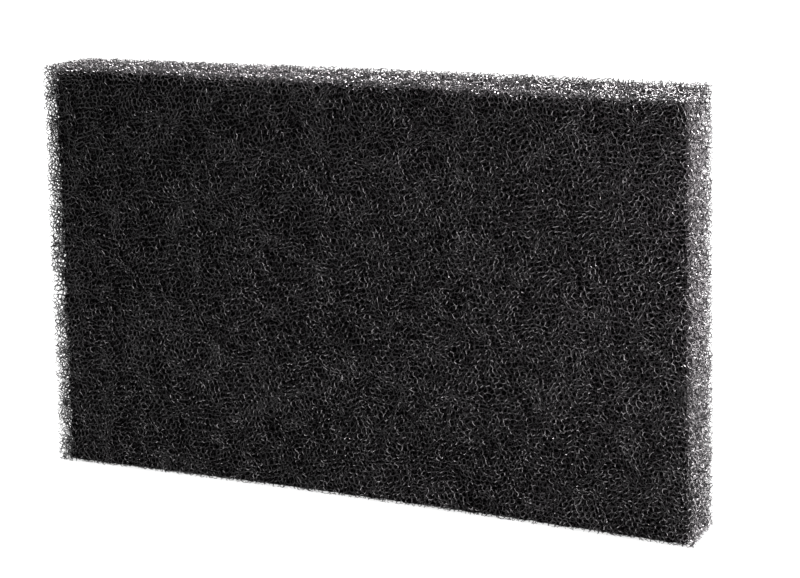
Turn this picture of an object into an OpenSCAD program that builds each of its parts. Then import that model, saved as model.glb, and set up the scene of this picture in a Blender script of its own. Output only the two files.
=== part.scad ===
// Flat foam air-filter pad, cut with square corners from a block of open-cell foam.
// It stands on one long edge: X runs along its length, Y through its thickness
// and Z up. The origin is the middle of the bottom edge.

/* [Pad] */
// Length of the pad, from end to end
pad_length = 250; // [80:1:600]
// Height of the pad, from the edge that it stands on to the top edge
pad_height = 150; // [60:1:400]
// Thickness of the pad, from the front face to the back face
pad_thickness = 25; // [6:1:60]

/* [Hidden] */

// One block of foam, with all six faces cut flat
module foam_pad() {
    color("#232123")
        translate([-pad_length / 2, -pad_thickness / 2, 0])
            cube([pad_length, pad_thickness, pad_height]);
}

foam_pad();
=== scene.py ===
import itertools
import math

import bmesh
import bpy
import numpy as np
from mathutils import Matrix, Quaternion, Vector, noise


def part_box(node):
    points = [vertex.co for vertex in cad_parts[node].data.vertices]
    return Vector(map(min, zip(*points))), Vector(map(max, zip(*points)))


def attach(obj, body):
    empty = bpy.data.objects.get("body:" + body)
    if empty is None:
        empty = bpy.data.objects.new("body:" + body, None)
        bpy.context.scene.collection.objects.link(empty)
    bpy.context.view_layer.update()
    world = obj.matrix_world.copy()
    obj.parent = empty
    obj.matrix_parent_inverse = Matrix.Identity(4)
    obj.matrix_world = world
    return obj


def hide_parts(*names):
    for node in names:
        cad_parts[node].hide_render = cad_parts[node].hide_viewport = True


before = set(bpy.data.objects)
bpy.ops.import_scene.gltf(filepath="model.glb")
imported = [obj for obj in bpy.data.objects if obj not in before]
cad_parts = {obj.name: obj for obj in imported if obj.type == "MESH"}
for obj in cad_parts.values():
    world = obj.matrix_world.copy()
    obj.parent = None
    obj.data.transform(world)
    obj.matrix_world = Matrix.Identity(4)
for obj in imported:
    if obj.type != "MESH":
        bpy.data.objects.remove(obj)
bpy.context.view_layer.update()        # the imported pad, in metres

padLow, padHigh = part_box("foam_pad")
padSize = padHigh - padLow
padMiddle = (padLow + padHigh) / 2
scene = bpy.context.scene


def toScene(thing):
    scene.collection.objects.link(thing)
    return thing


cameraValues = {
    "azimuth": 27.37,      # degrees, to the pad's right
    "elevation": 13.73,    # degrees above the floor
    "roll": -1.48,         # degrees
    "lens": 90.0,          # mm on a 36 mm sensor
    "distance": 0.6975,    # m from the aim
    "aimAcross": 0.057,    # aim, as a share of the pad's length from its middle
    "aimUp": 0.503,        # and of its height from the floor
}


def placeCamera(v):
    azimuth, elevation, roll = (math.radians(v[k]) for k in ("azimuth", "elevation", "roll"))
    look = Vector((-math.sin(azimuth) * math.cos(elevation),
                   math.cos(azimuth) * math.cos(elevation),
                   -math.sin(elevation)))
    aim = Vector((padMiddle.x + v["aimAcross"] * padSize.x, padMiddle.y,
                  padLow.z + v["aimUp"] * padSize.z))
    lens = bpy.data.cameras.new("camera")
    lens.lens = v["lens"]
    lens.sensor_width = 36.0
    lens.clip_start = 0.01
    camera = toScene(bpy.data.objects.new("camera", lens))
    camera.location = aim - look * v["distance"]
    camera.rotation_mode = "QUATERNION"
    camera.rotation_quaternion = look.to_track_quat("-Z", "Y") @ Quaternion((0, 0, 1), roll)
    scene.camera = camera


placeCamera(cameraValues)
print("camera placed")


def addNode(tree, kind, inputs=None, **settings):
    # inputs maps a socket's name or number to a value, or to the output that feeds it
    node = tree.nodes.new(kind)
    for name, value in settings.items():
        setattr(node, name, value)
    for socket, value in (inputs or {}).items():
        if isinstance(value, bpy.types.NodeSocket):
            tree.links.new(value, node.inputs[socket])
        else:
            node.inputs[socket].default_value = value
    return node


class Sums:
    # short names for the sums that a tree needs
    def __init__(self, tree):
        self.tree = tree

    def number(self, operation, a, b=0.0, c=0.0):
        return addNode(self.tree, "ShaderNodeMath", {0: a, 1: b, 2: c}, operation=operation).outputs[0]

    def vector(self, operation, a, b=(0.0, 0.0, 0.0)):
        node = addNode(self.tree, "ShaderNodeVectorMath", {0: a, 1: b}, operation=operation)
        return node.outputs["Value" if operation in ("DOT_PRODUCT", "LENGTH") else "Vector"]

    def scaled(self, a, factor):
        inputs = {0: a, "Scale": factor}
        return addNode(self.tree, "ShaderNodeVectorMath", inputs, operation="SCALE").outputs["Vector"]

    def join(self, x, y, z):
        return addNode(self.tree, "ShaderNodeCombineXYZ", {0: x, 1: y, 2: z}).outputs[0]

    def same(self, x):
        return self.join(x, x, x)

    def parts(self, a):
        return addNode(self.tree, "ShaderNodeSeparateXYZ", {0: a}).outputs

    def both(self, a, b):
        return addNode(self.tree, "FunctionNodeBooleanMath", {0: a, 1: b}, operation="AND").outputs[0]

    def no(self, a):
        return addNode(self.tree, "FunctionNodeBooleanMath", {0: a}, operation="NOT").outputs[0]

    def least(self, a):
        x, y, z = self.parts(a)
        return self.number("MINIMUM", self.number("MINIMUM", x, y), z)

    def inBox(self, place, low, high, grow):
        # true inside the box from low to high, made larger by grow on every side
        above = self.least(self.vector("SUBTRACT", place, low))
        below = self.least(self.vector("SUBTRACT", high, place))
        room = self.number("ADD", self.number("MINIMUM", above, below), grow)
        return self.number("GREATER_THAN", room, 0.0)


foamValues = {
    "Cell Size": 0.00225,         # m, edge of the cube that holds two cells
    "Opening": 0.888,             # how wide the windows between cells are, under 1
    "Turn": (0.45, 0.30, 0.70),   # radians, rows of cells against the pad's faces
    "Scatter": 0.0018,            # m, how far each joint strays on its own
    "Drift": 0.0050,              # m, how far whole groups of cells stray
    "Uneven": 1.5,                # how much the struts' thickness varies
    "Seed": 4.0,
}
strayValues = {
    # over how many cells each stray changes, and what is added to the seed for it
    "drift": (3.7, 3.0),
    "scatter": (0.62, 7.0),
    "thickness": (0.9, 11.0),
}
coreValues = {
    "front": 0.0016,       # m of open cells in front of the dark core
    "back": 0.0007,
    "ends": 0.0046,
    "lean": 0.16,          # m to the left per m back that its ends slant, so light passes the left edge
    "top": 0.0032,
    "bottom": 0.0007,
    "step": 0.0014,        # m between the points of its rough skin
    "seed": 4,             # of its bumps, not 0
    # how much of the open depth its bumps fill, at the ends, the front and back, and the top and bottom
    "ragged": (0.35, 0.4, 0.6),
}
tileValues = {
    "columns": (0.0, 0.22, 0.5, 0.78, 1.0),     # where the net is split, across
    "rows": (0.0, 0.35, 0.69, 1.0),             # and up
    "spare": 0.004,        # m past the pad that the outer tiles reach
}
bendValues = {
    "bow": 0.0028,         # m, middle behind the ends
    "twist": -0.318,       # sideways shift per metre along and per metre up
    "topSlant": 0.0013,    # m, rise of the top's back edge at the right end
    "leftSlant": 0.0004,   # m, shift along of each end's back edge
    "rightSlant": -0.0007,
}

coreLow = padLow + Vector((coreValues["ends"], coreValues["front"], coreValues["bottom"]))
coreHigh = padHigh - Vector((coreValues["ends"], coreValues["back"], coreValues["top"]))


def seedCell():
    # a cell with 8 six-sided and 6 four-sided windows
    # its corners are (0, 1/4, 1/2) in every order and with every sign
    corners = set()
    for order in itertools.permutations((0.0, 0.25, 0.5)):
        for signs in itertools.product((-1, 1), repeat=3):
            corners.add(tuple(c * s + 0.0 for c, s in zip(order, signs)))
    bm = bmesh.new()
    for corner in sorted(corners):
        bm.verts.new(corner)
    bmesh.ops.convex_hull(bm, input=bm.verts)
    bmesh.ops.dissolve_limit(bm, angle_limit=0.01, verts=bm.verts, edges=bm.edges)
    bmesh.ops.recalc_face_normals(bm, faces=bm.faces)
    mesh = bpy.data.meshes.new("cell")
    bm.to_mesh(mesh)
    bm.free()
    return mesh


def foamTree():
    tree = bpy.data.node_groups.new("foamNet", "GeometryNodeTree")
    numbers = ("Cell Size", "Opening", "Scatter", "Drift", "Uneven", "Seed", "Core Lean")
    vectors = ("Turn", "Tile Low", "Tile High", "Pad Low", "Pad High", "Core Low", "Core High")
    sockets = [("Geometry", "NodeSocketGeometry")]
    sockets += [(name, "NodeSocketFloat") for name in numbers]
    sockets += [(name, "NodeSocketVector") for name in vectors]
    sockets += [("Material", "NodeSocketMaterial")]
    for name, kind in sockets:
        tree.interface.new_socket(name, in_out="INPUT", socket_type=kind)
    tree.interface.new_socket("Geometry", in_out="OUTPUT", socket_type="NodeSocketGeometry")
    given = addNode(tree, "NodeGroupInput").outputs
    do = Sums(tree)
    cellSize = given["Cell Size"]
    position = addNode(tree, "GeometryNodeInputPosition").outputs[0]
    turn = addNode(tree, "FunctionNodeEulerToRotation", {0: given["Turn"]}).outputs[0]

    def turned(vector, rotation=turn):
        return addNode(tree, "FunctionNodeRotateVector", {0: vector, 1: rotation}).outputs[0]

    def kept(geometry, name, value):
        inputs = {"Geometry": geometry, "Name": name, "Value": value}
        return addNode(tree, "GeometryNodeStoreNamedAttribute", inputs, data_type="FLOAT_VECTOR").outputs[0]

    def recalled(name):
        inputs = {"Name": name}
        return addNode(tree, "GeometryNodeInputNamedAttribute", inputs, data_type="FLOAT_VECTOR").outputs[0]

    def moved(geometry, place):
        inputs = {"Geometry": geometry, "Position": place}
        return addNode(tree, "GeometryNodeSetPosition", inputs).outputs[0]

    def without(geometry, chosen, domain):
        inputs = {"Geometry": geometry, "Selection": chosen}
        return addNode(tree, "GeometryNodeDeleteGeometry", inputs, domain=domain).outputs[0]

    def wander(place, cells, offset):
        # a smooth random vector from about -0.3 to 0.3, which changes over this many cells
        inputs = {"Vector": place, "W": do.number("ADD", given["Seed"], offset),
                  "Scale": do.number("DIVIDE", 1.0 / cells, cellSize), "Detail": 0.0}
        colour = addNode(tree, "ShaderNodeTexNoise", inputs, noise_dimensions="4D").outputs["Color"]
        return do.vector("SUBTRACT", colour, (0.5, 0.5, 0.5))

    def drifted(place):
        return do.vector("ADD", place, do.scaled(wander(place, *strayValues["drift"]), given["Drift"]))

    def inCore(place, grow):
        # true inside the core, after its slanted ends are pushed upright
        shift = do.number("MULTIPLY", do.parts(place)[1], given["Core Lean"])
        upright = do.vector("ADD", place, do.join(shift, 0.0, 0.0))
        return do.inBox(upright, given["Core Low"], given["Core High"], grow)

    # shrink one cell, and grow half of its windows into tunnels that reach its neighbours
    cell = kept(given["Geometry"], "corner", position)
    cell = moved(cell, do.scaled(position, given["Opening"]))
    oneSide = do.number("GREATER_THAN", do.vector("DOT_PRODUCT", position, (1.0, 0.31, 0.17)), 0.0)
    gap = do.number("SUBTRACT", 1.0, given["Opening"])
    stretch = do.number("DIVIDE", do.number("MULTIPLY", gap, 2.0), given["Opening"])
    tunnels = addNode(tree, "GeometryNodeExtrudeMesh", {
        "Mesh": cell, "Selection": oneSide, "Offset": do.scaled(position, stretch),
        "Offset Scale": 1.0, "Individual": True}, mode="FACES")
    walls = without(tunnels.outputs["Mesh"], do.no(tunnels.outputs["Side"]), "FACE")
    walls = addNode(tree, "GeometryNodeFlipFaces", {"Mesh": walls}).outputs[0]

    # cell centres round the tile: the corners and the middles of a stack of cubes
    span = do.vector("LENGTH", do.vector("SUBTRACT", given["Tile High"], given["Tile Low"]))
    reach = do.number("ADD", do.number("MULTIPLY", span, 0.5), do.number("MULTIPLY", given["Drift"], 0.5))
    half = do.number("ADD", do.number("CEIL", do.number("DIVIDE", reach, cellSize)), 1.0)
    side = do.number("ADD", do.number("MULTIPLY", half, 2.0), 1.0)
    layer = do.number("MULTIPLY", side, side)
    count = do.number("MULTIPLY", do.number("MULTIPLY", layer, side), 2.0)
    index = addNode(tree, "GeometryNodeInputIndex").outputs[0]
    cube = do.number("FLOOR", do.number("DIVIDE", index, 2.0))
    row = do.number("FLOOR", do.number("DIVIDE", cube, side))
    place = do.join(do.number("FLOORED_MODULO", cube, side), do.number("FLOORED_MODULO", row, side),
                    do.number("FLOOR", do.number("DIVIDE", row, side)))
    place = do.vector("SUBTRACT", place, do.same(half))
    middle = do.same(do.number("MULTIPLY", do.number("FLOORED_MODULO", index, 2.0), 0.5))
    back = addNode(tree, "FunctionNodeInvertRotation", {0: turn}).outputs[0]
    tileMiddle = do.scaled(do.vector("ADD", given["Tile Low"], given["Tile High"]), 0.5)
    nearest = do.vector("FLOOR", do.scaled(turned(tileMiddle, back), do.number("DIVIDE", 1.0, cellSize)))
    place = do.scaled(do.vector("ADD", do.vector("ADD", nearest, place), middle), cellSize)
    centres = addNode(tree, "GeometryNodePoints", {"Count": count, "Position": place}).outputs[0]
    spot = drifted(turned(position))
    # only the cells whose struts can reach into the tile and the pad's open shell
    nearTile = do.number("MULTIPLY", cellSize, 0.75)
    nearPad = do.number("ADD", cellSize, do.number("MULTIPLY", given["Scatter"], 0.3))
    wanted = do.both(do.inBox(spot, given["Tile Low"], given["Tile High"], nearTile),
                     do.inBox(spot, given["Pad Low"], given["Pad High"], nearPad))
    deep = inCore(spot, do.number("MULTIPLY", nearTile, -1.0))
    centres = without(centres, do.no(do.both(wanted, do.no(deep))), "POINT")

    # the cells, joined into one net whose struts have three sides
    centres = kept(centres, "centre", position)
    net = addNode(tree, "GeometryNodeInstanceOnPoints", {
        "Points": centres, "Instance": walls, "Scale": do.same(cellSize)}).outputs[0]
    net = addNode(tree, "GeometryNodeRealizeInstances", {"Geometry": net}).outputs[0]
    net = addNode(tree, "GeometryNodeMergeByDistance", {
        "Geometry": net, "Distance": do.number("MULTIPLY", cellSize, 0.002)}).outputs[0]
    joint = turned(do.vector("ADD", recalled("centre"), do.scaled(recalled("corner"), cellSize)))
    net = kept(net, "joint", joint)
    net = kept(net, "spot", drifted(recalled("joint")))
    scatter = do.scaled(wander(recalled("joint"), *strayValues["scatter"]), given["Scatter"])
    net = kept(net, "end", do.vector("ADD", recalled("spot"), scatter))

    # a strut stays if its middle is in the tile and the pad, and out of the core
    inTile = do.inBox(recalled("spot"), given["Tile Low"], given["Tile High"], 0.0)
    inPad = do.inBox(recalled("spot"), given["Pad Low"], given["Pad High"], 0.0)
    inside = inCore(recalled("spot"), 0.0)
    net = without(net, do.no(do.both(do.both(inTile, inPad), do.no(inside))), "FACE")

    # thicker and thinner joints, strayed, then trimmed flat at the pad's faces
    arm = do.vector("SUBTRACT", turned(position), recalled("joint"))
    stray = do.parts(wander(recalled("joint"), *strayValues["thickness"]))[0]
    thick = do.number("MULTIPLY", stray, given["Uneven"])
    arm = do.scaled(arm, do.number("ADD", thick, 1.0))
    place = do.vector("ADD", recalled("end"), arm)
    place = do.vector("MINIMUM", do.vector("MAXIMUM", place, given["Pad Low"]), given["Pad High"])
    net = moved(net, place)
    net = addNode(tree, "GeometryNodeRealizeInstances", {"Geometry": net}).outputs[0]
    inputs = {"Geometry": net, "Material": given["Material"]}
    net = addNode(tree, "GeometryNodeSetMaterial", inputs).outputs[0]
    addNode(tree, "NodeGroupOutput", {0: net})
    return tree


def closeEnds(mesh):
    # drops the walls that are not whole at a cut, then caps the open end of every strut
    bm = bmesh.new()
    bm.from_mesh(mesh)
    joint = bm.verts.layers.float_vector["joint"]
    sameJoint = 1e-6
    openEdges = [e for e in bm.edges if e.is_boundary]
    while True:
        torn = set()
        for edge in openEdges:
            first, second = edge.verts
            if (first[joint] - second[joint]).length > sameJoint:
                torn.add(edge.link_faces[0])
        if not torn:
            break
        bmesh.ops.delete(bm, geom=list(torn), context="FACES")
        openEdges = [e for e in bm.edges if e.is_boundary]
    following = {}
    for edge in openEdges:
        loop = edge.link_loops[0]
        following[loop.link_loop_next.vert] = loop.vert
    while following:
        start, corner = following.popitem()
        ring = [start]
        while corner is not start:
            ring.append(corner)
            corner = following.pop(corner)
        if len(ring) == 4:
            if any(ring[2] in edge.verts for edge in ring[0].link_edges):
                ring = ring[1:] + ring[:1]
            bm.faces.new((ring[0], ring[2], ring[3]))
        bm.faces.new(ring[:3])
    bmesh.ops.triangulate(bm, faces=bm.faces)
    bm.to_mesh(mesh)
    bm.free()


def bendMesh(mesh):
    # the pad's slight bow and twist, and cuts that are not quite square
    places = np.empty(len(mesh.vertices) * 3)
    mesh.vertices.foreach_get("co", places)
    places = places.reshape(-1, 3)
    along, deep, up = ((places - np.array(padMiddle)) / (np.array(padSize) / 2)).T
    rightness = (1 + along) / 2
    slant = bendValues["rightSlant"] * rightness + bendValues["leftSlant"] * (1 - rightness)
    places[:, 0] += slant * deep
    places[:, 1] += bendValues["bow"] * (0.5 - along ** 2)
    places[:, 1] += bendValues["twist"] * along * up * padSize.x * padSize.z / 4
    places[:, 2] += bendValues["topSlant"] * rightness * deep * (1 + up) / 2
    mesh.vertices.foreach_set("co", places.ravel())
    mesh.update()


def finishPiece(piece, look):
    piece.data.materials.clear()
    piece.data.materials.append(look)
    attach(piece, "root")
    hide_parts("foam_pad")


def cutAt(low, high, shares, spare):
    # the edges of the tiles along one side of the pad
    cuts = [low + (high - low) * share for share in shares]
    return [cuts[0] - spare] + cuts[1:-1] + [cuts[-1] + spare]


def makeNet(look):
    tree = foamTree()
    socketOf = {s.name: s.identifier for s in tree.interface.items_tree if s.in_out == "INPUT"}
    cell = seedCell()
    spare = tileValues["spare"]
    across = cutAt(padLow.x, padHigh.x, tileValues["columns"], spare)
    upward = cutAt(padLow.z, padHigh.z, tileValues["rows"], spare)
    for row, (bottom, top) in enumerate(zip(upward, upward[1:])):
        for column, (left, right) in enumerate(zip(across, across[1:])):
            name = f"foam_row{row + 1}_part{column + 1}"
            seed = toScene(bpy.data.objects.new(name + "_seed", cell.copy()))
            net = seed.modifiers.new("net", "NODES")
            net.node_group = tree
            inputs = dict(foamValues)
            inputs["Tile Low"] = (left, padLow.y - spare, bottom)
            inputs["Tile High"] = (right, padHigh.y + spare, top)
            inputs["Pad Low"] = padLow
            inputs["Pad High"] = padHigh
            inputs["Core Low"] = coreLow
            inputs["Core High"] = coreHigh
            inputs["Core Lean"] = coreValues["lean"]
            inputs["Material"] = look
            for socket, value in inputs.items():
                net[socketOf[socket]] = value
            evaluated = seed.evaluated_get(bpy.context.evaluated_depsgraph_get())
            mesh = bpy.data.meshes.new_from_object(evaluated)
            bpy.data.objects.remove(seed)
            closeEnds(mesh)
            bendMesh(mesh)
            for attribute in ("corner", "centre", "joint", "spot", "end"):
                mesh.attributes.remove(mesh.attributes[attribute])
            finishPiece(toScene(bpy.data.objects.new(name, mesh)), look)
            print(name, len(mesh.polygons), "triangles")


def makeCore(look):
    # a rough block in dark painted shade stands in for the cells that are too deep for any light
    noise.seed_set(coreValues["seed"])
    bm = bmesh.new()
    size = coreHigh - coreLow
    steps = [max(2, round(length / coreValues["step"])) for length in size]
    corners = {}

    def corner(*index):
        if index not in corners:
            place = coreLow + Vector(n / most * length for n, most, length in zip(index, steps, size))
            place.x -= coreValues["lean"] * place.y
            stray = noise.noise_vector(place / coreValues["step"])
            for axis, share in enumerate(coreValues["ragged"]):
                bump = share * min(1.0, 2 * abs(stray[axis]))
                if index[axis] == 0:
                    place[axis] -= bump * (place - padLow)[axis]
                if index[axis] == steps[axis]:
                    place[axis] += bump * (padHigh - place)[axis]
            corners[index] = bm.verts.new(place)
        return corners[index]

    for axis in range(3):
        a, b = (axis + 1) % 3, (axis + 2) % 3
        for level in (0, steps[axis]):
            for p, q in itertools.product(range(steps[a]), range(steps[b])):
                ring = []
                for dp, dq in ((0, 0), (1, 0), (1, 1), (0, 1)):
                    index = [0, 0, 0]
                    index[axis], index[a], index[b] = level, p + dp, q + dq
                    ring.append(corner(*index))
                bm.faces.new(ring if level else ring[::-1])
    bmesh.ops.triangulate(bm, faces=bm.faces)
    mesh = bpy.data.meshes.new("foam_core")
    bm.to_mesh(mesh)
    bm.free()
    bendMesh(mesh)
    finishPiece(toScene(bpy.data.objects.new("foam_core", mesh)), look)
    print("core", len(mesh.polygons), "triangles")


foamLook = {
    "dark": (0.0010, 0.0009, 0.0010, 1.0),
    "pale": (0.0094, 0.0082, 0.0093, 1.0),
    "grain": 1500.0,         # grains of colour per metre
    "patches": 45.0,         # slow changes of colour per metre
    "spread": (0.8, 1.3),          # grain and patches together, from dark to pale
    "roughness": (0.16, 0.60),     # of the glossiest and the dullest grains
    "gloss": (0.35, 0.65),         # the grain's values at those two
    "specular": 0.4,
}


def newMaterial(name, specular):
    material = bpy.data.materials.new(name)
    material.use_nodes = True
    shader = material.node_tree.nodes["Principled BSDF"]
    shader.inputs["Specular IOR Level"].default_value = specular
    place = addNode(material.node_tree, "ShaderNodeTexCoord").outputs["Object"]
    return material, material.node_tree, shader, place


def foamMaterial():
    material, tree, shader, place = newMaterial("charcoalFoam", foamLook["specular"])
    grain = addNode(tree, "ShaderNodeTexNoise", {
        "Vector": place, "Scale": foamLook["grain"], "Detail": 2.0, "Roughness": 0.6}).outputs[0]
    patches = addNode(tree, "ShaderNodeTexNoise", {
        "Vector": place, "Scale": foamLook["patches"], "Detail": 3.0}).outputs[0]
    blend = addNode(tree, "ShaderNodeMath", {0: grain, 1: patches}, operation="ADD").outputs[0]
    share = addNode(tree, "ShaderNodeMapRange", {
        "Value": blend, "From Min": foamLook["spread"][0], "From Max": foamLook["spread"][1]}).outputs[0]
    colour = addNode(tree, "ShaderNodeMix", {
        0: share, 6: foamLook["dark"], 7: foamLook["pale"]}, data_type="RGBA").outputs[2]
    tree.links.new(colour, shader.inputs["Base Color"])
    gloss = addNode(tree, "ShaderNodeMapRange", {
        "Value": grain, "From Min": foamLook["gloss"][0], "From Max": foamLook["gloss"][1],
        "To Min": foamLook["roughness"][0], "To Max": foamLook["roughness"][1]}).outputs[0]
    tree.links.new(gloss, shader.inputs["Roughness"])
    return material


coreLook = {
    # painted shade of the deep voids between the struts
    "dark": (0.0003, 0.0003, 0.0003, 1.0),
    # painted struts of the deeper cells, their paleness a painted stand-in for the light they catch
    "pale": (0.018, 0.0165, 0.0175, 1.0),
    "cells": 700.0,          # painted cells per metre
    "grain": 1300.0,         # breaks in their struts per metre
    "strut": (0.02, 0.11),   # where a strut's colour fades out
    "roughness": 0.8,
    "specular": 0.0,
}


def coreMaterial():
    # painted shade of the deep cells, crossed by dim painted struts
    material, tree, shader, place = newMaterial("deepFoamShade", coreLook["specular"])
    cells = addNode(tree, "ShaderNodeTexVoronoi", {
        "Vector": place, "Scale": coreLook["cells"]}, feature="DISTANCE_TO_EDGE").outputs["Distance"]
    grain = addNode(tree, "ShaderNodeTexNoise", {
        "Vector": place, "Scale": coreLook["grain"], "Detail": 1.0}).outputs[0]
    edge = addNode(tree, "ShaderNodeMath", {0: cells, 1: grain}, operation="DIVIDE").outputs[0]
    share = addNode(tree, "ShaderNodeMapRange", {
        "Value": edge, "From Min": coreLook["strut"][0], "From Max": coreLook["strut"][1]}).outputs[0]
    colour = addNode(tree, "ShaderNodeMix", {
        0: share, 6: coreLook["pale"], 7: coreLook["dark"]}, data_type="RGBA").outputs[2]
    tree.links.new(colour, shader.inputs["Base Color"])
    shader.inputs["Roughness"].default_value = coreLook["roughness"]
    return material


studio = {
    "world": 1.0,
    "floor": (0.90, 0.90, 0.90, 1.0),
    "floorRoughness": 0.8,
    "floorSpecular": 0.2,
    "floorSize": 8.0,
    "floorLight": 2.0,       # sun on the floor alone, without shadows, so that it stays white
    "lampColour": (1.0, 0.95, 0.97),
    # name: place, width in m, power in W
    "lamps": {
        "right": ((0.9, 0.04, 0.2), 0.3, 50.0),
        "frontRight": ((0.19, -0.09, 0.10), 0.2, 1.2),
        "left": ((-0.8, 0.12, 0.2), 0.4, 9.0),
        "topRight": ((0.45, 0.25, 0.95), 0.3, 100.0),
        "behind": ((0.0, 0.9, 0.75), 0.5, 70.0),
    },
}


def linkLight(lamp, floor, state):
    # includes the floor alone in the lamp's light, or leaves it out
    group = bpy.data.collections.new(lamp.name + "Link")
    group.objects.link(floor)
    lamp.light_linking.receiver_collection = group
    group.collection_objects[0].light_linking.link_state = state


def makeStudio():
    world = bpy.data.worlds.new("studio")
    world.use_nodes = True
    world.node_tree.nodes["Background"].inputs["Color"].default_value = (1.0, 1.0, 1.0, 1.0)
    world.node_tree.nodes["Background"].inputs["Strength"].default_value = studio["world"]
    scene.world = world
    scene.view_settings.view_transform = "Standard"
    bm = bmesh.new()
    bmesh.ops.create_grid(bm, x_segments=4, y_segments=4, size=studio["floorSize"] / 2)
    mesh = bpy.data.meshes.new("floor")
    bm.to_mesh(mesh)
    bm.free()
    floor = toScene(bpy.data.objects.new("floor", mesh))
    paint, _, shader, _ = newMaterial("floorPaint", studio["floorSpecular"])
    shader.inputs["Base Color"].default_value = studio["floor"]
    shader.inputs["Roughness"].default_value = studio["floorRoughness"]
    mesh.materials.append(paint)
    sun = bpy.data.lights.new("floorLight", "SUN")
    sun.energy = studio["floorLight"]
    sun.use_shadow = False
    linkLight(toScene(bpy.data.objects.new("floorLight", sun)), floor, "INCLUDE")
    for name, (spot, width, power) in studio["lamps"].items():
        panel = bpy.data.lights.new(name, "AREA")
        panel.size = width
        panel.energy = power
        panel.color = studio["lampColour"]
        lamp = toScene(bpy.data.objects.new(name, panel))
        lamp.location = spot
        lamp.rotation_euler = (padMiddle - Vector(spot)).to_track_quat("-Z", "Y").to_euler()
        lamp.visible_camera = False
        linkLight(lamp, floor, "EXCLUDE")


makeStudio()
print("studio lit")
makeNet(foamMaterial())
makeCore(coreMaterial())
